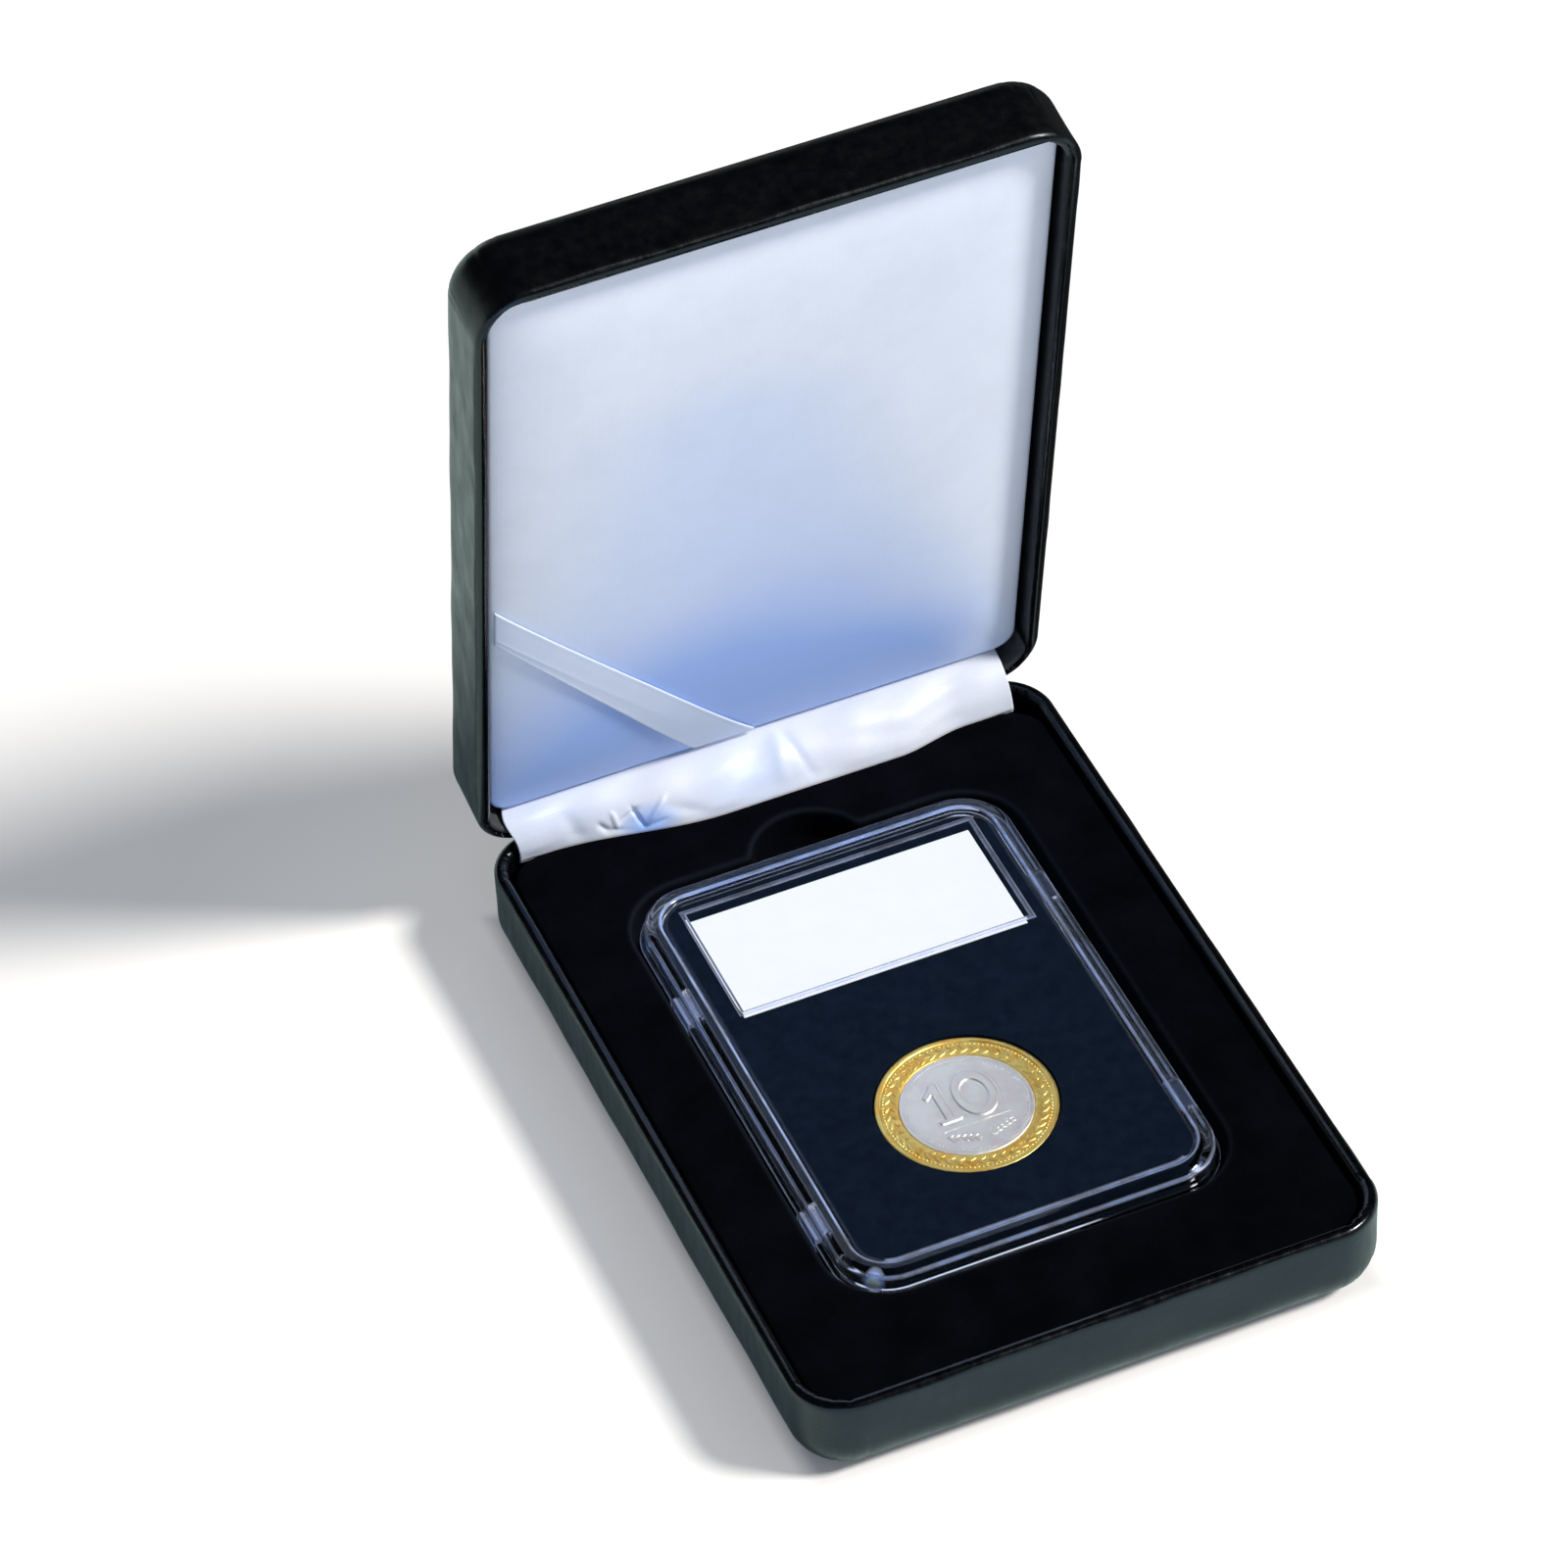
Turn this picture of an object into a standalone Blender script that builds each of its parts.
"""Coin slab box: a hinged leatherette presentation case that stands open on one clear coin slab.

The box is a stiff moulded base and lid, each wrapped in leatherette that turns in over the rim.
The base holds a flocked insert with a pocket for the slab, the lid a white satin pad.
A stamped snap hinge joins them at the rear, behind a satin strip.
Metres, +Z up. The origin is the centre of the underside, and +Y points to the hinge.
Lid pieces are drawn closed, about the hinge axis, and an empty on that axis holds them open.
"""
import math

import bmesh
import bpy

MM = 0.001

# Driving sizes of the box
BOX_WIDTH = 91.0 * MM
BOX_DEPTH = 126.0 * MM
BASE_HEIGHT = 15.3 * MM
LID_HEIGHT = 13.7 * MM
CORNER_RADIUS = 8.6 * MM
BASE_EDGE_RADIUS = 6.5 * MM
LID_EDGE_RADIUS = 4.3 * MM
OPEN_ANGLE = math.radians(80)

# Walls: a stiff shell between two plies of leatherette makes the rim
SHELL_WALL = 1.0 * MM
WRAP = 0.4 * MM
LAYER_GAP = 0.2 * MM
RIM_GAP = 0.3 * MM
BASE_TURN_IN = 6.0 * MM
LID_TURN_IN = 5.0 * MM
RIM_WIDTH = SHELL_WALL + 2 * (WRAP + LAYER_GAP)
BEAD_RADIUS = RIM_WIDTH / 2
WRAP_AND_GAP = WRAP + LAYER_GAP

# Gaps between loose pieces, and how far a cutter runs past what it cuts
SEAT_GAP = 0.3 * MM
CUT_OVERRUN = 1.0 * MM
LEAST_RADIUS = 0.2 * MM

# Hinge axis, along X: the centre of the lid's rear rim bead
PIVOT_Y = BOX_DEPTH / 2 - BEAD_RADIUS
PIVOT_Z = BASE_HEIGHT + RIM_GAP + BEAD_RADIUS

# Coin slab
SLAB_WIDTH = 60.6 * MM
SLAB_LENGTH = 87.0 * MM
SLAB_HEIGHT = 8.6 * MM
SLAB_CORNER_RADIUS = 9.0 * MM
SLAB_EDGE_ROUND = 0.8 * MM
SLAB_FLOOR = 1.2 * MM
SLAB_WALL = 1.1 * MM
SLAB_LIP_WIDTH = 0.4 * MM
SLAB_LIP_HEIGHT = 1.0 * MM
SLAB_PARTING_Z = 5.0 * MM
SLAB_RIB_WALL = 0.6 * MM
SLAB_RIB_TOP_Z = 5.6 * MM
COVER_STEP = 0.8 * MM
COVER_TONGUE_WALL = 0.7 * MM
COVER_TONGUE_DEPTH = 1.7 * MM
COVER_PLATE = 1.2 * MM
COVER_FRAME_HEIGHT = 0.6 * MM
COVER_FIT = 0.25 * MM
CLIP_LENGTH = 6.0 * MM
CLIP_HEIGHT = 1.7 * MM
CLIP_PLACES = (21.0 * MM, -26.0 * MM)

# Insides of the slab
FOAM_RECESS_COIN = 2.6 * MM
FOAM_RECESS_LABEL = 0.6 * MM
CARD_WIDTH = 45.6 * MM
CARD_LENGTH = 21.6 * MM
CARD_THICKNESS = 0.3 * MM
CARD_PLACE = (0.5 * MM, 25.8 * MM)
LABEL_FRAME_WIDTH = 0.8 * MM
LABEL_FRAME_HEIGHT = 0.35 * MM
COIN_RADIUS = 13.5 * MM
COIN_CORE_RADIUS = 9.9 * MM
COIN_THICKNESS = 2.1 * MM
COIN_RIM_WIDTH = 0.9 * MM
COIN_RIM_HEIGHT = 0.15 * MM
COIN_PLACE = (0.1 * MM, -14.6 * MM)
BIMETAL_GAP = 0.1 * MM

# Flocked insert and the pocket in it
SLAB_SINK = 0.3 * MM
INSERT_DROP = 1.5 * MM
INSERT_FIT = 0.4 * MM
INSERT_SHEET = 0.9 * MM
INSERT_ROUND = 1.2 * MM
HINGE_BAY = 7.8 * MM
POCKET_FIT = 0.8 * MM
POCKET_FLARE = 1.2 * MM
NOTCH_RADIUS = 8.9 * MM
NOTCH_REACH = 8.1 * MM
NOTCH_DEPTH = 5.0 * MM
SUPPORT_MARGIN = 1.0 * MM

# Satin pad in the lid
PAD_FIT = 0.3 * MM
PAD_SIDE_DEPTH = 3.0 * MM
PAD_CROWN_DEPTH = 1.3 * MM
PAD_SIDE_DRAW = 0.3 * MM
PAD_BACK_DRAW = 1.5 * MM
PAD_REAR_MARGIN = 5.0 * MM
PAD_MIDDLE_WIDTH = 1.8 * MM
PAD_CROWN_POWER = 6
SATIN = 0.35 * MM
PAD_BOARD = 1.2 * MM

# Certificate ribbon, across the pad's corner nearest the hinge on the left
RIBBON_WIDTH = 7.5 * MM
RIBBON_THICKNESS = 0.35 * MM
RIBBON_SIDE_REACH = 43.5 * MM
RIBBON_REAR_REACH = 37.9 * MM
RIBBON_END_INSET = 0.6 * MM

# Snap hinge
HINGE_SHEET = 0.6 * MM
HINGE_HALF_SPAN = 25.0 * MM
PIN_RADIUS = 0.5 * MM
PIN_FIT = 0.15 * MM
PIN_HEAD_RADIUS = 0.9 * MM
PIN_HEAD_LENGTH = 0.4 * MM
EAR_RADIUS = 1.05 * MM
EAR_FOOT = 1.0 * MM
BASE_PLATE_HEIGHT = 8.7 * MM
BASE_PLATE_DROP = 0.8 * MM
LID_PLATE_HEIGHT = 6.4 * MM
LID_PLATE_RISE = 2.9 * MM
EAR_NOTCH_RISE = 0.5 * MM
RIVET_RADIUS = 0.7 * MM
RIVET_HEAD_RADIUS = 1.3 * MM
RIVET_HEAD_LENGTH = 0.4 * MM
RIVET_SPAN = 17.0 * MM
BASE_RIVET_DROP = 7.7 * MM
LID_RIVET_RISE = 7.5 * MM
RIVET_BITE = 0.8 * MM
SPRING_HALF_SPAN = 20.0 * MM
SPRING_RISE = 4.0 * MM
SPRING_WIDTH = 2.2 * MM
SPRING_THICKNESS = 0.4 * MM
SPRING_TAB = 0.6 * MM
SPRING_TAB_RISE = 0.4 * MM
SPRING_TAB_REACH = 2.0 * MM

# Satin strip over the hinge
CLOTH_HALF_WIDTH = 40.0 * MM
CLOTH_THICKNESS = 0.4 * MM
CLOTH_TUCK_IN_LID = 6.0 * MM
CLOTH_TUCK_IN_BASE = 4.5 * MM
CLOTH_LID_DEPTH = 3.4 * MM
CLOTH_BULGE_OUT = 2.2 * MM
CLOTH_BULGE_UP = 2.4 * MM
CLOTH_LEFT_DRAW = 3.3 * MM
CLOTH_LEFT_DRAW_FROM = 8.0 * MM
CLOTH_LEFT_DRAW_RUN = 28.0 * MM
CLOTH_RIGHT_DRAW = 1.4 * MM
CLOTH_RIGHT_DRAW_FROM = 20.0 * MM
CLOTH_RIGHT_DRAW_RUN = 12.0 * MM

# Counts
CORNER_STEPS = 7
EDGE_STEPS = 4
BEAD_STEPS = 6
ROUND_STEPS = 48
SMALL_ROUND_STEPS = 16
PAD_RINGS = 8
PAD_SIDE_STEPS = 4
RIBBON_STEPS = 16
RIBBON_ACROSS_STEPS = 3
SPRING_STEPS = 18
EAR_STEPS = 8
CLOTH_STEPS = 20
CLOTH_PATH_STEPS = 4

# Faces that meet at more than this stay sharp
SHARP_ANGLE = math.radians(30)

# Colours: red, green, blue, then roughness and metallic
LEATHERETTE = (0.012, 0.013, 0.013, 0.42, 0.0)
SHELL_BOARD = (0.05, 0.05, 0.05, 0.8, 0.0)
FLOCK = (0.004, 0.004, 0.006, 0.95, 0.0)
GREY_FOAM = (0.16, 0.16, 0.17, 0.95, 0.0)
SATIN_WHITE = (0.80, 0.82, 0.90, 0.38, 0.0)
WHITE_FOAM = (0.75, 0.74, 0.70, 0.95, 0.0)
PAD_CARD = (0.42, 0.40, 0.36, 0.9, 0.0)
ZINC_STEEL = (0.55, 0.56, 0.57, 0.35, 1.0)
SPRING_STEEL = (0.30, 0.31, 0.34, 0.30, 1.0)
CLEAR_PLASTIC = (0.70, 0.80, 0.90, 0.05, 0.0)
DARK_FOAM = (0.006, 0.010, 0.020, 0.9, 0.0)
CARD_WHITE = (0.86, 0.88, 0.95, 0.6, 0.0)
GOLD_ALLOY = (0.72, 0.50, 0.12, 0.32, 1.0)
SILVER_ALLOY = (0.62, 0.59, 0.61, 0.34, 1.0)


def clear_scene():
    """Remove every object that the file opened with."""
    for obj in list(bpy.data.objects):
        bpy.data.objects.remove(obj, do_unlink=True)


def make_material(name, finish):
    """A plain Principled surface in one of the finishes named above."""
    material = bpy.data.materials.new(name)
    material.use_nodes = True
    shader = material.node_tree.nodes["Principled BSDF"]
    red, green, blue, roughness, metallic = finish
    shader.inputs["Base Color"].default_value = (red, green, blue, 1.0)
    shader.inputs["Roughness"].default_value = roughness
    shader.inputs["Metallic"].default_value = metallic
    return material


def add_piece(name, mesh, finish, parent=None):
    """Link a mesh as one named piece with its own material, under the empty that carries it."""
    obj = bpy.data.objects.new(name, mesh)
    bpy.context.collection.objects.link(obj)
    mesh.materials.append(make_material(name, finish))
    mesh.shade_smooth()
    mesh.set_sharp_from_angle(angle=SHARP_ANGLE)
    obj.parent = parent
    return obj


def add_guide(name, mesh, parent=None):
    """Link a mesh that only cuts or joins another piece."""
    obj = bpy.data.objects.new(name, mesh)
    bpy.context.collection.objects.link(obj)
    obj.parent = parent
    obj.hide_render = True
    obj.display_type = "WIRE"
    return obj


def add_empty(name, place, turn=0.0):
    """An empty that carries moving pieces, turned about X."""
    empty = bpy.data.objects.new(name, None)
    bpy.context.collection.objects.link(empty)
    empty.location = place
    empty.rotation_euler = (turn, 0, 0)
    return empty


def boolean(target, tool, operation):
    """Cut a guide out of a piece, or join it to the piece."""
    modifier = target.modifiers.new(f"{operation.lower()}_{tool.name}", "BOOLEAN")
    modifier.object = tool
    modifier.operation = operation
    modifier.solver = "EXACT"


def loft(name, rings, loop=False):
    """A closed mesh through rings of equally many points, capped at both ends or looped."""
    shape = bmesh.new()
    loops = [[shape.verts.new(point) for point in ring] for ring in rings]
    pairs = list(zip(loops[:-1], loops[1:]))
    if loop:
        pairs.append((loops[-1], loops[0]))
    for low, high in pairs:
        for index in range(len(low)):
            after = (index + 1) % len(low)
            shape.faces.new((low[index], low[after], high[after], high[index]))
    if not loop:
        shape.faces.new(list(reversed(loops[0])))
        shape.faces.new(loops[-1])
    bmesh.ops.recalc_face_normals(shape, faces=shape.faces)
    mesh = bpy.data.meshes.new(name)
    shape.to_mesh(mesh)
    shape.free()
    return mesh


def box_mesh(name, low, high):
    """A block between two corners."""
    (x0, y0, z0), (x1, y1, z1) = low, high
    floor = [(x0, y0), (x1, y0), (x1, y1), (x0, y1)]
    return loft(name, [[(x, y, z) for x, y in floor] for z in (z0, z1)])


def turned_mesh(name, profile, centre, axis, steps):
    """A solid of revolution about X, Y or Z: the profile lists places along the axis and radii."""
    cx, cy, cz = centre
    rings = []
    for along, radius in profile:
        ring = []
        for step in range(steps):
            angle = 2 * math.pi * step / steps
            u, v = radius * math.cos(angle), radius * math.sin(angle)
            spots = {"X": (along, cy + u, cz + v), "Y": (cx + u, along, cz + v),
                     "Z": (cx + u, cy + v, along)}
            ring.append(spots[axis])
        rings.append(ring)
    return loft(name, rings)


def rounded_outline(width, length, radius, steps=CORNER_STEPS, side_steps=1, draw=0.0):
    """Points round a rectangle with round corners; draw bows each side inward at its middle."""
    half_w, half_l = width / 2, length / 2
    radius = min(max(radius, LEAST_RADIUS), half_w, half_l)
    points = []
    for quarter, (sx, sy) in enumerate(((1, 1), (-1, 1), (-1, -1), (1, -1))):
        cx, cy = sx * (half_w - radius), sy * (half_l - radius)
        for step in range(steps + 1):
            angle = math.pi / 2 * (quarter + step / steps)
            points.append((cx + radius * math.cos(angle), cy + radius * math.sin(angle)))
        last_x, last_y = points[-1]
        next_x, next_y = ((-cx, last_y), (last_x, -cy))[quarter % 2]
        for step in range(1, side_steps):
            share = step / side_steps
            bow = draw * 4 * share * (1 - share)
            inward = ((0, -sy * bow), (-sx * bow, 0))[quarter % 2]
            x = last_x + (next_x - last_x) * share + inward[0]
            y = last_y + (next_y - last_y) * share + inward[1]
            points.append((x, y))
    return points


def inset_ring(plan, inset, z, **options):
    """A ring at height z, inset from a plan of width, length, corner radius, and centre y."""
    width, length, radius, centre_y = plan
    outline = rounded_outline(width - 2 * inset, length - 2 * inset, radius - inset, **options)
    return [(x, y + centre_y, z) for x, y in outline]


def plan_loft(name, plan, sections, **options):
    """A loft whose sections are pairs of inset and height."""
    return loft(name, [inset_ring(plan, inset, z, **options) for inset, z in sections])


def arc(centre, radius, start, end, steps):
    """Points on an arc, in degrees, as pairs of inset and depth."""
    points = []
    for step in range(steps + 1):
        angle = math.radians(start + (end - start) * step / steps)
        points.append((centre[0] + radius * math.cos(angle), centre[1] + radius * math.sin(angle)))
    return points


def cover_sections(height, edge_radius, turn_in):
    """Leatherette, as inset and depth below the rim: under the tub, up, over the rim and down inside."""
    edge = (edge_radius, height - edge_radius)
    bead = (BEAD_RADIUS, BEAD_RADIUS)
    sections = arc(edge, edge_radius, 90, 180, EDGE_STEPS)
    sections += arc(bead, BEAD_RADIUS, 180, 360, BEAD_STEPS)
    sections += [(RIM_WIDTH, turn_in), (RIM_WIDTH - WRAP, turn_in)]
    sections += arc(bead, BEAD_RADIUS - WRAP, 360, 180, BEAD_STEPS)
    sections += arc(edge, edge_radius - WRAP, 180, 90, EDGE_STEPS)
    return sections


def shell_sections(height, edge_radius):
    """The stiff tub inside the leatherette, as inset and depth below the rim."""
    edge = (edge_radius, height - edge_radius)
    bead = (BEAD_RADIUS, BEAD_RADIUS)
    inner_radius = edge_radius - WRAP_AND_GAP - SHELL_WALL
    sections = arc(edge, edge_radius - WRAP_AND_GAP, 90, 180, EDGE_STEPS)
    sections += arc(bead, SHELL_WALL / 2, 180, 360, BEAD_STEPS)
    sections += arc(edge, inner_radius, 180, 90, EDGE_STEPS)
    return sections


SIDES = ((-1, "left"), (1, "right"))
BASE_PLAN = (BOX_WIDTH, BOX_DEPTH, CORNER_RADIUS, 0.0)
LID_PLAN = (BOX_WIDTH, BOX_DEPTH, CORNER_RADIUS, -PIVOT_Y)


def in_base(sections):
    """Depths below the rim as heights in the base."""
    return [(inset, BASE_HEIGHT - depth) for inset, depth in sections]


def in_lid(sections):
    """Depths above the rim as heights over the hinge axis, with the lid closed."""
    return [(inset, depth - BEAD_RADIUS) for inset, depth in sections]


def make_base_tub(holes):
    """The leatherette cover and the moulded shell of the base, and the shell's rivet holes."""
    cover_rows = cover_sections(BASE_HEIGHT, BASE_EDGE_RADIUS, BASE_TURN_IN)
    add_piece("base_cover", plan_loft("base_cover", BASE_PLAN, in_base(cover_rows)), LEATHERETTE)
    shell_rows = shell_sections(BASE_HEIGHT, BASE_EDGE_RADIUS)
    shell_mesh = plan_loft("base_shell", BASE_PLAN, in_base(shell_rows))
    shell = add_piece("base_shell", shell_mesh, SHELL_BOARD)
    for hole in holes:
        boolean(shell, hole, "DIFFERENCE")


def make_lid_tub(lid, holes):
    """The leatherette cover and the moulded shell of the lid, notched at the rear for the hinge ears."""
    cover_rows = cover_sections(LID_HEIGHT, LID_EDGE_RADIUS, LID_TURN_IN)
    cover = add_piece("lid_cover", plan_loft("lid_cover", LID_PLAN, in_lid(cover_rows)), LEATHERETTE, lid)
    shell_mesh = plan_loft("lid_shell", LID_PLAN, in_lid(shell_sections(LID_HEIGHT, LID_EDGE_RADIUS)))
    shell = add_piece("lid_shell", shell_mesh, SHELL_BOARD, lid)
    near = HINGE_HALF_SPAN - 2 * HINGE_SHEET - 3 * SEAT_GAP
    far = HINGE_HALF_SPAN + PIN_HEAD_LENGTH + 2 * SEAT_GAP
    reach = BEAD_RADIUS + CUT_OVERRUN
    for side, label in SIDES:
        low_x, high_x = sorted((side * near, side * far))
        low, high = (low_x, -reach, -reach), (high_x, reach, EAR_RADIUS + EAR_NOTCH_RISE)
        name = f"ear_notch_{label}"
        notch = add_guide(name, box_mesh(name, low, high), lid)
        boolean(cover, notch, "DIFFERENCE")
        boolean(shell, notch, "DIFFERENCE")
    for hole in holes:
        boolean(shell, hole, "DIFFERENCE")


INSERT_HALF_WIDTH = BOX_WIDTH / 2 - RIM_WIDTH - INSERT_FIT
INSERT_FRONT_Y = -(BOX_DEPTH / 2 - RIM_WIDTH - INSERT_FIT)
INSERT_REAR_Y = BOX_DEPTH / 2 - HINGE_BAY
INSERT_TOP_Z = BASE_HEIGHT - INSERT_DROP
INSERT_CORNER = CORNER_RADIUS - RIM_WIDTH - INSERT_FIT
INSERT_PLAN = (2 * INSERT_HALF_WIDTH, INSERT_REAR_Y - INSERT_FRONT_Y, INSERT_CORNER,
               (INSERT_REAR_Y + INSERT_FRONT_Y) / 2)
SLAB_SEAT_Z = BASE_HEIGHT - SLAB_SINK - SLAB_HEIGHT
POCKET_FLOOR_Z = SLAB_SEAT_Z - SEAT_GAP
SHELL_FLOOR_Z = WRAP_AND_GAP + SHELL_WALL
POCKET_PLAN = (SLAB_WIDTH + 2 * POCKET_FIT, SLAB_LENGTH + 2 * POCKET_FIT,
               SLAB_CORNER_RADIUS + POCKET_FIT, 0.0)
NOTCH_CENTRE = (0, SLAB_LENGTH / 2 + NOTCH_REACH - NOTCH_RADIUS - POCKET_FLARE)


def shell_floor_height(inset):
    """Height of the base shell's inner face at an inset, up its round edge."""
    radius = BASE_EDGE_RADIUS - WRAP_AND_GAP - SHELL_WALL
    reach = max(BASE_EDGE_RADIUS - inset, 0)
    return SHELL_FLOOR_Z + radius - math.sqrt(radius ** 2 - reach ** 2)


def flared_sections(floor_z):
    """A pocket's wall, which flares in a round lip where it meets the insert's top."""
    lip = arc((-POCKET_FLARE, POCKET_FLARE), POCKET_FLARE, 0, -90, EDGE_STEPS)
    wall = [(0.0, floor_z)] + [(inset, INSERT_TOP_Z - depth) for inset, depth in lip]
    return wall + [(-POCKET_FLARE, INSERT_TOP_Z + CUT_OVERRUN)]


def notch_profile(floor_z, grow):
    """The finger notch as heights and radii, grown for the sheet under it."""
    return [(z, NOTCH_RADIUS - inset + grow) for inset, z in flared_sections(floor_z)]


def make_insert():
    """The flocked sheet with its slab pocket and finger notch, and the foam block under the pocket."""
    foot_z = shell_floor_height(BOX_WIDTH / 2 - INSERT_HALF_WIDTH) + SEAT_GAP
    edge = [(inset, INSERT_TOP_Z - depth)
            for inset, depth in arc((INSERT_ROUND, INSERT_ROUND), INSERT_ROUND, 180, 270, EDGE_STEPS)]
    insert_mesh = plan_loft("velvet_insert", INSERT_PLAN, [(0.0, foot_z)] + edge)
    insert = add_piece("velvet_insert", insert_mesh, FLOCK)

    pocket = add_guide("pocket_cut", plan_loft("pocket_cut", POCKET_PLAN, flared_sections(POCKET_FLOOR_Z)))
    notch_floor_z = INSERT_TOP_Z - NOTCH_DEPTH
    notch_centre = (*NOTCH_CENTRE, 0)
    notch_mesh = turned_mesh("notch_cut", notch_profile(notch_floor_z, 0.0), notch_centre, "Z", ROUND_STEPS)
    notch = add_guide("notch_cut", notch_mesh)

    under_top_z = INSERT_TOP_Z - INSERT_SHEET
    hollow_sections = [(INSERT_SHEET, foot_z - CUT_OVERRUN), (INSERT_SHEET, under_top_z - INSERT_ROUND),
                       (INSERT_ROUND + INSERT_SHEET, under_top_z)]
    hollow = add_guide("hollow_cut", plan_loft("hollow_cut", INSERT_PLAN, hollow_sections))
    wall = POCKET_FLARE + INSERT_SHEET
    kept_low, kept_high = POCKET_FLOOR_Z - INSERT_SHEET, INSERT_TOP_Z + CUT_OVERRUN
    kept_mesh = plan_loft("kept_pocket", POCKET_PLAN, [(-wall, kept_low), (-wall, kept_high)])
    kept = add_guide("kept_pocket", kept_mesh)
    kept_notch_mesh = turned_mesh("kept_notch", [(notch_floor_z - INSERT_SHEET, NOTCH_RADIUS + wall),
                                                 (kept_high + CUT_OVERRUN, NOTCH_RADIUS + wall)],
                                  notch_centre, "Z", ROUND_STEPS)
    kept_notch = add_guide("kept_notch", kept_notch_mesh)
    boolean(hollow, kept, "DIFFERENCE")
    boolean(hollow, kept_notch, "DIFFERENCE")
    for tool in (pocket, notch, hollow):
        boolean(insert, tool, "DIFFERENCE")

    support_top = kept_low - SEAT_GAP
    support_plan = (SLAB_WIDTH - 2 * SUPPORT_MARGIN, SLAB_LENGTH - 2 * SUPPORT_MARGIN,
                    SLAB_CORNER_RADIUS, 0.0)
    support_sections = [(0.0, SHELL_FLOOR_Z + SEAT_GAP), (0.0, support_top)]
    support = plan_loft("insert_support", support_plan, support_sections)
    add_piece("insert_support", support, GREY_FOAM)


LID_ROOF_DEPTH = LID_HEIGHT - WRAP_AND_GAP - SHELL_WALL
PAD_BACK_DEPTH = LID_ROOF_DEPTH - SEAT_GAP
PAD_HALF_WIDTH = BOX_WIDTH / 2 - RIM_WIDTH - PAD_FIT
PAD_FRONT_Y = -(BOX_DEPTH / 2 - RIM_WIDTH - PAD_FIT)
PAD_REAR_Y = BOX_DEPTH / 2 - PAD_REAR_MARGIN
PAD_PLAN = (2 * PAD_HALF_WIDTH, PAD_REAR_Y - PAD_FRONT_Y, CORNER_RADIUS - RIM_WIDTH - PAD_FIT,
            (PAD_REAR_Y + PAD_FRONT_Y) / 2 - PIVOT_Y)


def pad_depth(inset):
    """Depth of the satin's face above the lid's rim: deepest at the pad's edge, least at the crown."""
    share = 1 - min(max(inset, 0) / PAD_HALF_WIDTH, 1)
    return PAD_CROWN_DEPTH + (PAD_SIDE_DEPTH - PAD_CROWN_DEPTH) * share ** PAD_CROWN_POWER


def crown_sections(skin):
    """The pad's crowned face, a skin's thickness under the satin's face, from edge to middle."""
    sections = []
    for ring in range(PAD_RINGS + 1):
        share = (ring / PAD_RINGS) ** 2
        inset = skin + (PAD_HALF_WIDTH - PAD_MIDDLE_WIDTH / 2 - skin) * share
        sections.append((inset, pad_depth(inset - skin) + skin))
    return sections


def make_lid_pad(lid):
    """The satin skin, the foam under it and the card behind, glued to the lid's roof."""
    options = {"steps": EDGE_STEPS, "side_steps": PAD_SIDE_STEPS, "draw": PAD_SIDE_DRAW}
    board_depth = PAD_BACK_DEPTH - PAD_BOARD
    under = SATIN + LAYER_GAP
    bend_depth = LID_HEIGHT - LID_EDGE_RADIUS - SEAT_GAP
    satin_sections = list(reversed(crown_sections(0.0)))
    satin_sections += [(0.0, bend_depth), (PAD_BACK_DRAW, PAD_BACK_DEPTH)]
    satin_sections += [(PAD_BACK_DRAW + SATIN, PAD_BACK_DEPTH), (SATIN, bend_depth)] + crown_sections(SATIN)
    satin = plan_loft("satin_pad", PAD_PLAN, in_lid(satin_sections), **options)
    add_piece("satin_pad", satin, SATIN_WHITE, lid)
    board_inset = under + PAD_BACK_DRAW
    foam_sections = [(board_inset, board_depth - LAYER_GAP), (under, bend_depth)] + crown_sections(under)
    foam = plan_loft("pad_foam", PAD_PLAN, in_lid(foam_sections), **options)
    add_piece("pad_foam", foam, WHITE_FOAM, lid)
    board_sections = [(board_inset, board_depth), (board_inset, PAD_BACK_DEPTH)]
    board = plan_loft("pad_board", PAD_PLAN, in_lid(board_sections), **options)
    add_piece("pad_board", board, PAD_CARD, lid)


def pad_face_depth(x, y):
    """Depth of the satin's face at a place in the lid, from the nearest side of the pad."""
    width, length, _, centre_y = PAD_PLAN
    return pad_depth(min(width / 2 - abs(x), length / 2 - abs(y - centre_y)))


def make_ribbon(lid):
    """The satin band across the pad's rear left corner, lying on the pad from side to rear."""
    width, length, _, centre_y = PAD_PLAN
    rear_y = centre_y + length / 2
    start = (-width / 2 + RIBBON_END_INSET, rear_y - RIBBON_SIDE_REACH)
    end = (-width / 2 + RIBBON_REAR_REACH, rear_y - RIBBON_END_INSET)
    run_x, run_y = end[0] - start[0], end[1] - start[1]
    run = math.hypot(run_x, run_y)
    half_at_side = RIBBON_WIDTH / 2 * run / run_x
    half_at_rear = RIBBON_WIDTH / 2 * run / run_y
    rings = []
    for step in range(RIBBON_STEPS + 1):
        share = (1 - math.cos(math.pi * step / RIBBON_STEPS)) / 2
        lower, upper = [], []
        for across in range(RIBBON_ACROSS_STEPS + 1):
            side = 2 * across / RIBBON_ACROSS_STEPS - 1
            x = start[0] + run_x * share + side * half_at_rear * share
            y = start[1] + run_y * share - side * half_at_side * (1 - share)
            z = pad_face_depth(x, y) - SEAT_GAP - BEAD_RADIUS
            upper.append((x, y, z))
            lower.append((x, y, z - RIBBON_THICKNESS))
        rings.append(upper + lower[::-1])
    add_piece("certificate_ribbon", loft("certificate_ribbon", rings), SATIN_WHITE, lid)


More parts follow.
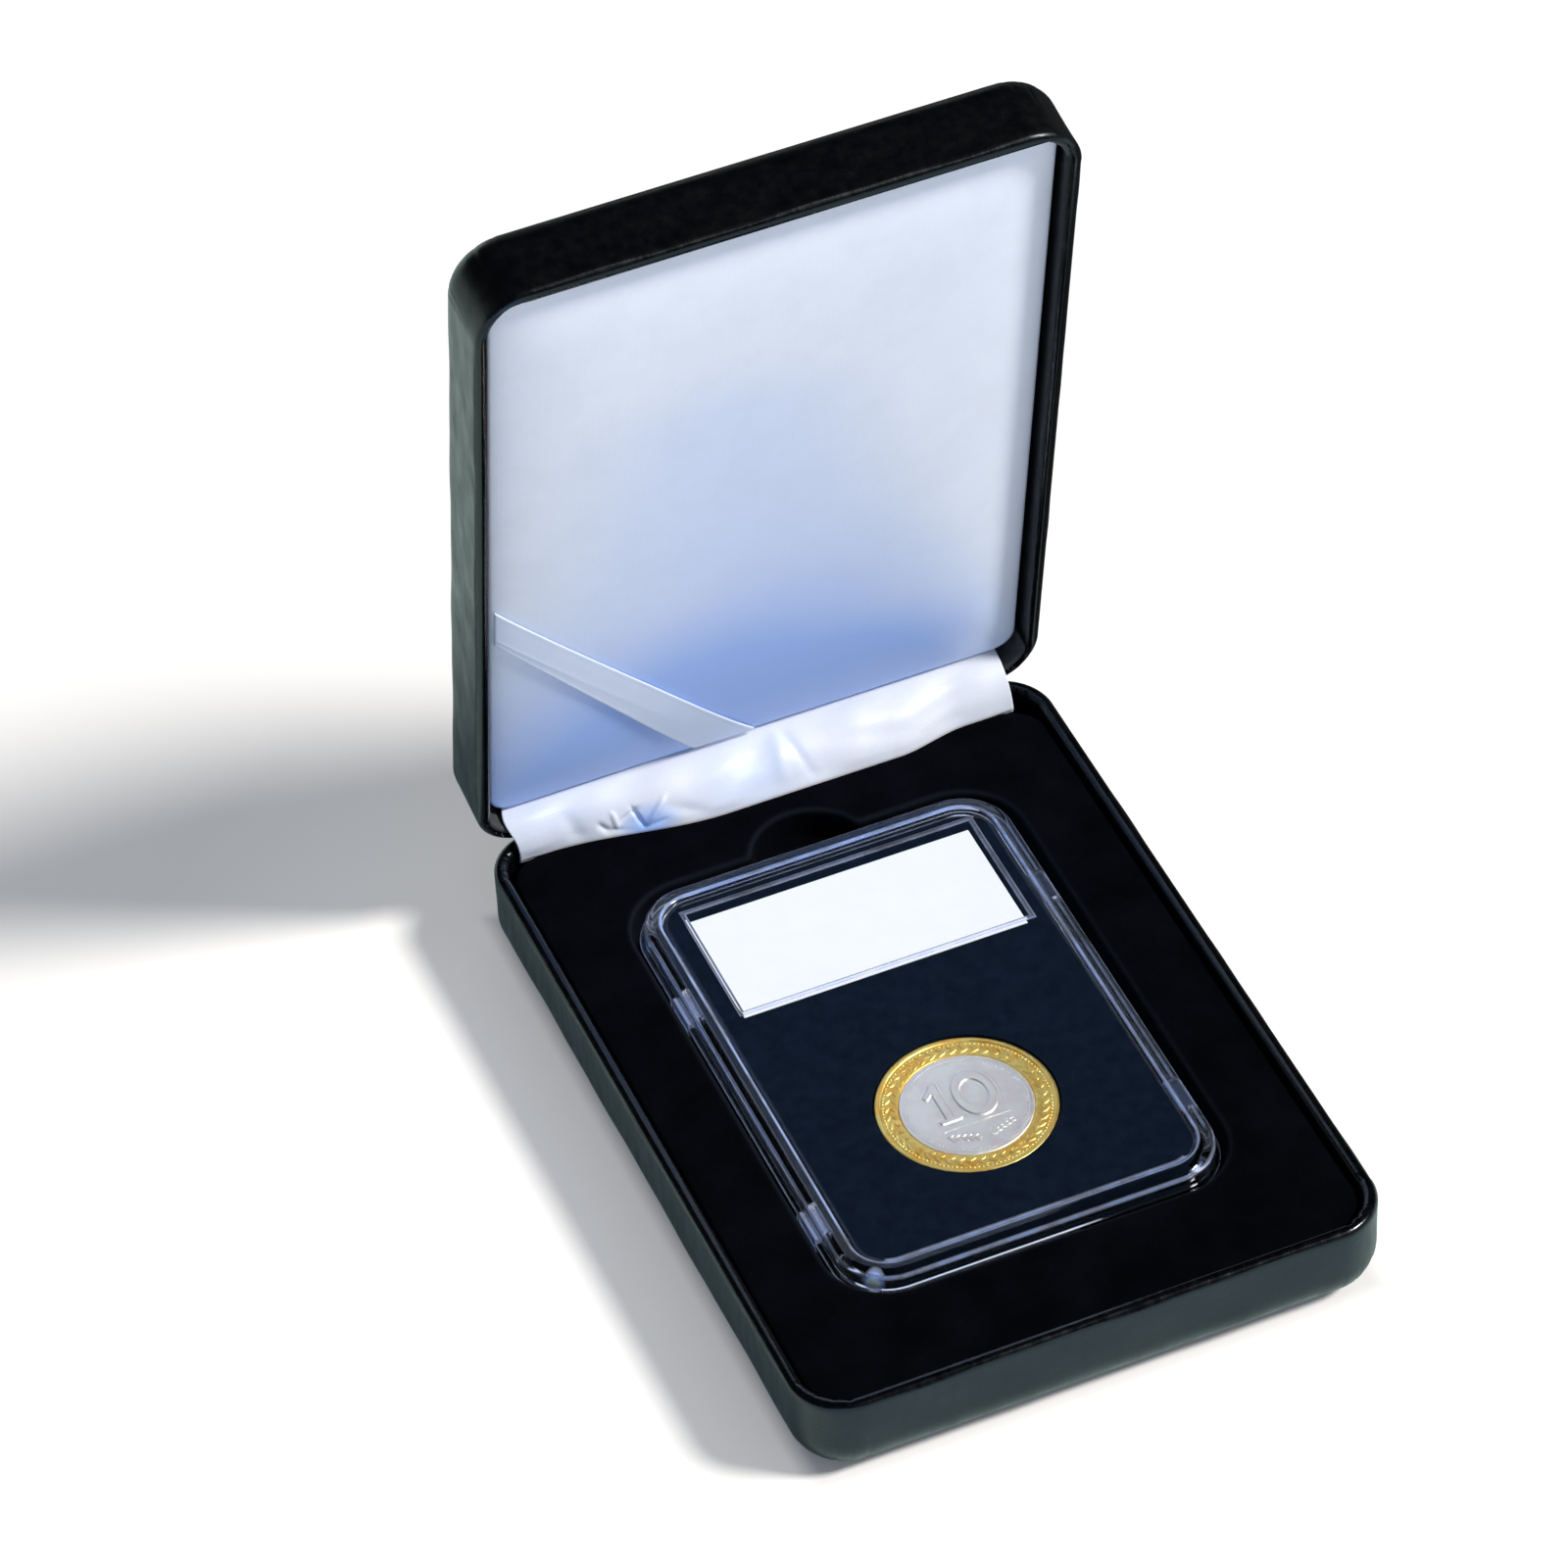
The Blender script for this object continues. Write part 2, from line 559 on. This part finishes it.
BASE_RIVET_Z = BASE_HEIGHT - BASE_RIVET_DROP
LID_RIVET_Z = LID_RIVET_RISE - BEAD_RADIUS


def rivet_holes(body, z, outer_y, parent):
    """Cutters for two rivets' shanks, through a hinge plate and the shell's rear wall."""
    front = outer_y - RIM_WIDTH - HINGE_SHEET - CUT_OVERRUN
    back = outer_y - WRAP - LAYER_GAP / 2
    profile = [(front, RIVET_RADIUS + PIN_FIT), (back, RIVET_RADIUS + PIN_FIT)]
    holes = []
    for side, label in SIDES:
        name = f"{body}_rivet_hole_{label}"
        mesh = turned_mesh(name, profile, (side * RIVET_SPAN, 0, z), "Y", SMALL_ROUND_STEPS)
        holes.append(add_guide(name, mesh, parent))
    return holes


def make_rivets(body, z, outer_y, parent):
    """Two rivets that hold a hinge plate to its shell's rear wall."""
    plate_front = outer_y - RIM_WIDTH - LAYER_GAP - HINGE_SHEET
    head_back = plate_front - LAYER_GAP
    tip = outer_y - WRAP_AND_GAP - SHELL_WALL + RIVET_BITE
    profile = [(head_back - RIVET_HEAD_LENGTH, RIVET_HEAD_RADIUS - RIVET_HEAD_LENGTH),
               (head_back - RIVET_HEAD_LENGTH / 2, RIVET_HEAD_RADIUS), (head_back, RIVET_HEAD_RADIUS),
               (head_back, RIVET_RADIUS), (tip, RIVET_RADIUS)]
    for side, label in SIDES:
        name = f"{body}_rivet_{label}"
        mesh = turned_mesh(name, profile, (side * RIVET_SPAN, 0, z), "Y", SMALL_ROUND_STEPS)
        add_piece(name, mesh, ZINC_STEEL, parent)


def ear_outline(pivot, foot_z):
    """One ear from the side: an eye round the axis, a neck over the rim and a leg to the plate."""
    pivot_y, pivot_z = pivot
    back = pivot_y + BEAD_RADIUS - RIM_WIDTH - LAYER_GAP
    front = back - EAR_FOOT
    up = 1 if foot_z > pivot_z else -1
    points = [(front, foot_z), (back, foot_z), (back, pivot_z + up * EAR_RADIUS)]
    for step in range(EAR_STEPS + 1):
        angle = math.pi / 2 - math.pi * step / EAR_STEPS
        points.append((pivot_y + EAR_RADIUS * math.cos(angle), pivot_z + up * EAR_RADIUS * math.sin(angle)))
    points.append((front + EAR_FOOT / 2, pivot_z - up * EAR_RADIUS))
    points.append((front, pivot_z - up * (EAR_RADIUS - EAR_FOOT / 2)))
    return points


def make_hinge_plate(body, low_z, high_z, ear_x, pivot, parent, holes):
    """One hinge plate on a rear wall's inner face, with an ear at each end and its rivet holes."""
    pivot_y, pivot_z = pivot
    back = pivot_y + BEAD_RADIUS - RIM_WIDTH - LAYER_GAP
    front = back - HINGE_SHEET
    half = ear_x - HINGE_SHEET / 2
    name = f"hinge_plate_{body}"
    plate = add_piece(name, box_mesh(name, (-half, front, low_z), (half, back, high_z)), ZINC_STEEL, parent)
    foot_z = high_z - EAR_FOOT if body == "base" else low_z + EAR_FOOT
    outline = ear_outline(pivot, foot_z)
    for side, label in SIDES:
        spans = (side * (ear_x - HINGE_SHEET), side * ear_x)
        ear = loft(f"{body}_ear_{label}", [[(x, y, z) for y, z in outline] for x in spans])
        boolean(plate, add_guide(f"{body}_ear_{label}", ear, parent), "UNION")
        bore_profile = [(x, PIN_RADIUS + PIN_FIT) for x in
                        (spans[0] - side * CUT_OVERRUN, spans[1] + side * CUT_OVERRUN)]
        bore_name = f"{body}_pin_bore_{label}"
        bore = turned_mesh(bore_name, bore_profile, (0, pivot_y, pivot_z), "X", SMALL_ROUND_STEPS)
        boolean(plate, add_guide(bore_name, bore, parent), "DIFFERENCE")
    for hole in holes:
        boolean(plate, hole, "DIFFERENCE")
    return plate


def make_pins(lid_ear_x):
    """The two short pins on the hinge axis, each through one ear of the base and one of the lid."""
    for side, label in SIDES:
        tip = side * (lid_ear_x - HINGE_SHEET - SEAT_GAP)
        head = side * (HINGE_HALF_SPAN + LAYER_GAP)
        profile = [(tip, PIN_RADIUS), (head, PIN_RADIUS), (head, PIN_HEAD_RADIUS),
                   (head + side * PIN_HEAD_LENGTH, PIN_HEAD_RADIUS)]
        name = f"hinge_pin_{label}"
        pin = turned_mesh(name, profile, (0, PIVOT_Y, PIVOT_Z), "X", SMALL_ROUND_STEPS)
        add_piece(name, pin, ZINC_STEEL)


def make_hinge(lid, base_holes, lid_holes):
    """The snap hinge: two plates with ears, a pin at each end, four rivets and the bowed spring."""
    base_high = BASE_HEIGHT - BASE_PLATE_DROP
    base_low = base_high - BASE_PLATE_HEIGHT
    lid_low = LID_PLATE_RISE - BEAD_RADIUS
    lid_high = lid_low + LID_PLATE_HEIGHT
    lid_ear_x = HINGE_HALF_SPAN - HINGE_SHEET - SEAT_GAP
    base_plate = make_hinge_plate("base", base_low, base_high, HINGE_HALF_SPAN, (PIVOT_Y, PIVOT_Z),
                                  None, base_holes)
    make_hinge_plate("lid", lid_low, lid_high, lid_ear_x, (0.0, 0.0), lid, lid_holes)
    make_pins(lid_ear_x)
    make_rivets("base", BASE_RIVET_Z, BOX_DEPTH / 2, None)
    make_rivets("lid", LID_RIVET_Z, BEAD_RADIUS, lid)
    make_spring(base_plate, base_low)


def make_spring(base_plate, plate_low):
    """The bowed leaf that snaps the lid open and shut, on two bent tabs of the base plate."""
    plate_front = BOX_DEPTH / 2 - RIM_WIDTH - LAYER_GAP - HINGE_SHEET
    back = plate_front - RIVET_HEAD_LENGTH - 2 * LAYER_GAP
    front = back - SPRING_WIDTH
    shelf_z = plate_low + SPRING_TAB_RISE
    foot_z = shelf_z + SPRING_TAB
    rings = []
    for step in range(SPRING_STEPS + 1):
        share = 2 * step / SPRING_STEPS - 1
        x = SPRING_HALF_SPAN * share
        z = foot_z + SEAT_GAP + SPRING_RISE * (1 - share ** 2)
        top_z = z + SPRING_THICKNESS
        rings.append([(x, front, z), (x, back, z), (x, back, top_z), (x, front, top_z)])
    add_piece("snap_spring", loft("snap_spring", rings), SPRING_STEEL)
    stop_top = foot_z + SEAT_GAP + SPRING_THICKNESS + SPRING_TAB
    for side, label in SIDES:
        inner = side * (SPRING_HALF_SPAN - SPRING_TAB_REACH)
        stop = side * (SPRING_HALF_SPAN + SEAT_GAP)
        outer = stop + side * SPRING_TAB
        outline = [(inner, shelf_z), (outer, shelf_z), (outer, stop_top), (stop, stop_top), (stop, foot_z),
                   (inner, foot_z)]
        ends = (front, plate_front + HINGE_SHEET / 2)
        tab = loft(f"spring_tab_{label}", [[(x, y, z) for x, z in outline] for y in ends])
        boolean(base_plate, add_guide(f"spring_tab_{label}", tab), "UNION")


def turn_open(y, z):
    """A place beside the hinge axis in the closed lid, carried to where the open lid has it."""
    cosine, sine = math.cos(OPEN_ANGLE), math.sin(OPEN_ANGLE)
    return y * cosine + z * sine, z * cosine - y * sine


def ease(share):
    """A smooth S that goes from 0 to 1."""
    share = min(max(share, 0), 1)
    return share * share * (3 - 2 * share)


def cloth_draw(x):
    """How far the strip's lower edge stands back from the insert at one x, most at its left end."""
    left = ease((-x - CLOTH_LEFT_DRAW_FROM) / CLOTH_LEFT_DRAW_RUN)
    right = ease((x - CLOTH_RIGHT_DRAW_FROM) / CLOTH_RIGHT_DRAW_RUN)
    return CLOTH_LEFT_DRAW * left + CLOTH_RIGHT_DRAW * right


def cloth_path(x):
    """The strip's middle line at one x, as offsets from the hinge axis, from the lid to the base."""
    plate_front = BEAD_RADIUS - RIM_WIDTH - LAYER_GAP - HINGE_SHEET
    pad_rear = PAD_REAR_Y - PIVOT_Y
    lid_y = (plate_front - RIVET_HEAD_LENGTH + pad_rear) / 2
    lid_z = CLOTH_LID_DEPTH - BEAD_RADIUS
    low_y = INSERT_REAR_Y - PIVOT_Y + SEAT_GAP + CLOTH_THICKNESS / 2 + cloth_draw(x)
    low_z = INSERT_TOP_Z - PIVOT_Z
    tucked = turn_open(lid_y, lid_z + CLOTH_TUCK_IN_LID)
    leaving = turn_open(lid_y, lid_z)
    corners = [tucked, leaving]
    middle_y = (leaving[0] + low_y) / 2 - CLOTH_BULGE_OUT
    middle_z = (leaving[1] + low_z) / 2 + CLOTH_BULGE_UP
    for step in range(1, 2 * CLOTH_PATH_STEPS):
        share = step / (2 * CLOTH_PATH_STEPS)
        y = (1 - share) ** 2 * leaving[0] + 2 * share * (1 - share) * middle_y + share ** 2 * low_y
        z = (1 - share) ** 2 * leaving[1] + 2 * share * (1 - share) * middle_z + share ** 2 * low_z
        corners.append((y, z))
    corners += [(low_y, low_z), (low_y, low_z - CLOTH_TUCK_IN_BASE)]
    return corners


def make_cloth():
    """The white strip over the hinge, tucked behind the lid's pad and behind the insert."""
    rings = []
    for step in range(CLOTH_STEPS + 1):
        x = CLOTH_HALF_WIDTH * (2 * step / CLOTH_STEPS - 1)
        path = cloth_path(x)
        front, back = [], []
        for index, (y, z) in enumerate(path):
            before, after = path[max(index - 1, 0)], path[min(index + 1, len(path) - 1)]
            run_y, run_z = after[0] - before[0], after[1] - before[1]
            scale = CLOTH_THICKNESS / 2 / math.hypot(run_y, run_z)
            front.append((x, PIVOT_Y + y + run_z * scale, PIVOT_Z + z - run_y * scale))
            back.append((x, PIVOT_Y + y - run_z * scale, PIVOT_Z + z + run_y * scale))
        rings.append(front + back[::-1])
    add_piece("hinge_cloth", loft("hinge_cloth", rings), SATIN_WHITE)


SLAB_PLAN = (SLAB_WIDTH, SLAB_LENGTH, SLAB_CORNER_RADIUS, 0.0)
SLAB_INNER = SLAB_LIP_WIDTH + SLAB_WALL
TONGUE_OUTER = SLAB_INNER + COVER_FIT
TONGUE_INNER = TONGUE_OUTER + COVER_TONGUE_WALL
RIB_OUTER = TONGUE_INNER + SEAT_GAP
FOAM_INSET = RIB_OUTER + SLAB_RIB_WALL + COVER_FIT
COVER_WINDOW_Z = SLAB_HEIGHT - COVER_FRAME_HEIGHT
COVER_UNDER_Z = COVER_WINDOW_Z - COVER_PLATE
FOAM_TOP_Z = COVER_UNDER_Z - SEAT_GAP


def make_slab_base(slab):
    """The slab's clear lower half: floor, wall with a lip at the parting line, and a rib round the foam."""
    sections = [(SLAB_LIP_WIDTH + SLAB_EDGE_ROUND, 0.0), (SLAB_LIP_WIDTH, SLAB_EDGE_ROUND),
                (SLAB_LIP_WIDTH, SLAB_PARTING_Z - SLAB_LIP_HEIGHT - SLAB_LIP_WIDTH),
                (0.0, SLAB_PARTING_Z - SLAB_LIP_HEIGHT), (0.0, SLAB_PARTING_Z), (SLAB_INNER, SLAB_PARTING_Z),
                (SLAB_INNER, SLAB_FLOOR), (RIB_OUTER, SLAB_FLOOR), (RIB_OUTER, SLAB_RIB_TOP_Z),
                (RIB_OUTER + SLAB_RIB_WALL, SLAB_RIB_TOP_Z), (RIB_OUTER + SLAB_RIB_WALL, SLAB_FLOOR)]
    base = add_piece("slab_base", plan_loft("slab_base", SLAB_PLAN, sections), CLEAR_PLASTIC, slab)
    for name, low, high in clip_boxes("clip_gap", SEAT_GAP, SLAB_PARTING_Z + CUT_OVERRUN):
        boolean(base, add_guide(name, box_mesh(name, low, high), slab), "DIFFERENCE")


def clip_boxes(prefix, grow, top_z):
    """The four clips on the slab's long sides, grown all round for the gaps that they sit in."""
    half = SLAB_WIDTH / 2
    length = CLIP_LENGTH / 2 + grow
    low_z = SLAB_PARTING_Z - CLIP_HEIGHT - grow
    boxes = []
    for side, label in SIDES:
        for number, y in enumerate(CLIP_PLACES, 1):
            reach = half + CUT_OVERRUN if grow else half - LAYER_GAP
            inner = half - SLAB_INNER - grow / 2 if grow else half - TONGUE_OUTER - COVER_TONGUE_WALL / 2
            low_x, high_x = sorted((side * inner, side * reach))
            low, high = (low_x, y - length, low_z), (high_x, y + length, top_z)
            boxes.append((f"{prefix}_{label}_{number}", low, high))
    return boxes


def make_slab_cover(cover):
    """The slab's clear upper half: plate, raised frame, tongue inside the lower wall, and four clips."""
    bottom_z = SLAB_PARTING_Z + COVER_FIT
    frame_inner = FOAM_INSET - COVER_FRAME_HEIGHT / 2
    sections = [(FOAM_INSET + COVER_FRAME_HEIGHT / 2, COVER_WINDOW_Z), (frame_inner, SLAB_HEIGHT),
                (COVER_STEP + SLAB_EDGE_ROUND, SLAB_HEIGHT), (COVER_STEP, SLAB_HEIGHT - SLAB_EDGE_ROUND),
                (COVER_STEP, bottom_z), (TONGUE_OUTER, bottom_z),
                (TONGUE_OUTER, bottom_z - COVER_TONGUE_DEPTH), (TONGUE_INNER, bottom_z - COVER_TONGUE_DEPTH),
                (TONGUE_INNER, COVER_UNDER_Z)]
    piece = add_piece("slab_cover", plan_loft("slab_cover", SLAB_PLAN, sections), CLEAR_PLASTIC, cover)
    for name, low, high in clip_boxes("clip", 0.0, bottom_z + LAYER_GAP):
        boolean(piece, add_guide(name, box_mesh(name, low, high), cover), "UNION")

    centre_x, centre_y = CARD_PLACE
    inner = (CARD_WIDTH + 2 * LAYER_GAP, CARD_LENGTH + 2 * LAYER_GAP)
    grow = 2 * LABEL_FRAME_WIDTH
    outer = (inner[0] + grow, inner[1] + grow)
    low_z, high_z = COVER_WINDOW_Z - LAYER_GAP, COVER_WINDOW_Z + LABEL_FRAME_HEIGHT
    rings = []
    for (width, length), z in ((outer, low_z), (outer, high_z - LAYER_GAP),
                               ((outer[0] - grow / 2, outer[1] - grow / 2), high_z),
                               (inner, high_z - LAYER_GAP), (inner, low_z)):
        outline = rounded_outline(width, length, LEAST_RADIUS, steps=1)
        rings.append([(x + centre_x, y + centre_y, z) for x, y in outline])
    frame = add_guide("label_frame", loft("label_frame", rings, loop=True), cover)
    boolean(piece, frame, "UNION")


def make_slab_insides(slab):
    """The dark foam with its two recesses, the label card, and the coin as a ring round a core."""
    foam_sections = [(FOAM_INSET, SLAB_FLOOR + SEAT_GAP), (FOAM_INSET, FOAM_TOP_Z)]
    foam_mesh = plan_loft("foam_insert", SLAB_PLAN, foam_sections)
    foam = add_piece("foam_insert", foam_mesh, DARK_FOAM, slab)
    coin_floor = FOAM_TOP_Z - FOAM_RECESS_COIN
    coin_hole = turned_mesh("coin_recess", [(coin_floor, COIN_RADIUS + LAYER_GAP),
                                            (FOAM_TOP_Z + CUT_OVERRUN, COIN_RADIUS + LAYER_GAP)],
                            (*COIN_PLACE, 0), "Z", ROUND_STEPS)
    boolean(foam, add_guide("coin_recess", coin_hole, slab), "DIFFERENCE")
    card_x, card_y = CARD_PLACE
    card_floor = FOAM_TOP_Z - FOAM_RECESS_LABEL
    grow_x, grow_y = CARD_WIDTH / 2 + LAYER_GAP, CARD_LENGTH / 2 + LAYER_GAP
    recess = box_mesh("card_recess", (card_x - grow_x, card_y - grow_y, card_floor),
                      (card_x + grow_x, card_y + grow_y, FOAM_TOP_Z + CUT_OVERRUN))
    boolean(foam, add_guide("card_recess", recess, slab), "DIFFERENCE")

    card_low = card_floor + LAYER_GAP
    card = box_mesh("label_card", (card_x - CARD_WIDTH / 2, card_y - CARD_LENGTH / 2, card_low),
                    (card_x + CARD_WIDTH / 2, card_y + CARD_LENGTH / 2, card_low + CARD_THICKNESS))
    add_piece("label_card", card, CARD_WHITE, slab)

    low, high = coin_floor + LAYER_GAP, coin_floor + LAYER_GAP + COIN_THICKNESS
    field_low, field_high = low + COIN_RIM_HEIGHT, high - COIN_RIM_HEIGHT
    rim_radius = COIN_RADIUS - COIN_RIM_WIDTH
    bore = COIN_CORE_RADIUS + BIMETAL_GAP
    profile = [(field_low, bore), (field_low, rim_radius), (low, rim_radius), (low, COIN_RADIUS),
               (high, COIN_RADIUS), (high, rim_radius), (field_high, rim_radius), (field_high, bore)]
    add_piece("coin_ring", ring_mesh("coin_ring", profile), GOLD_ALLOY, slab)
    core = turned_mesh("coin_core", [(field_low, COIN_CORE_RADIUS), (field_high, COIN_CORE_RADIUS)],
                       (*COIN_PLACE, 0), "Z", ROUND_STEPS)
    add_piece("coin_core", core, SILVER_ALLOY, slab)


def ring_mesh(name, profile):
    """A turned ring about the coin's axis, whose profile closes on itself."""
    rings = []
    for z, radius in profile:
        angles = [2 * math.pi * step / ROUND_STEPS for step in range(ROUND_STEPS)]
        rings.append([(COIN_PLACE[0] + radius * math.cos(angle), COIN_PLACE[1] + radius * math.sin(angle), z)
                      for angle in angles])
    return loft(name, rings, loop=True)


def build():
    """Make every piece of the box where it rests, with the lid open and the slab in its pocket."""
    clear_scene()
    lid = add_empty("lid_axis", (0, PIVOT_Y, PIVOT_Z), -OPEN_ANGLE)
    slab = add_empty("slab_seat", (0, 0, SLAB_SEAT_Z))
    cover = add_empty("slab_cover_seat", (0, 0, SLAB_SEAT_Z))
    base_holes = rivet_holes("base", BASE_RIVET_Z, BOX_DEPTH / 2, None)
    lid_holes = rivet_holes("lid", LID_RIVET_Z, BEAD_RADIUS, lid)
    make_base_tub(base_holes)
    make_lid_tub(lid, lid_holes)
    make_insert()
    make_lid_pad(lid)
    make_ribbon(lid)
    make_hinge(lid, base_holes, lid_holes)
    make_cloth()
    make_slab_base(slab)
    make_slab_insides(slab)
    make_slab_cover(cover)


build()
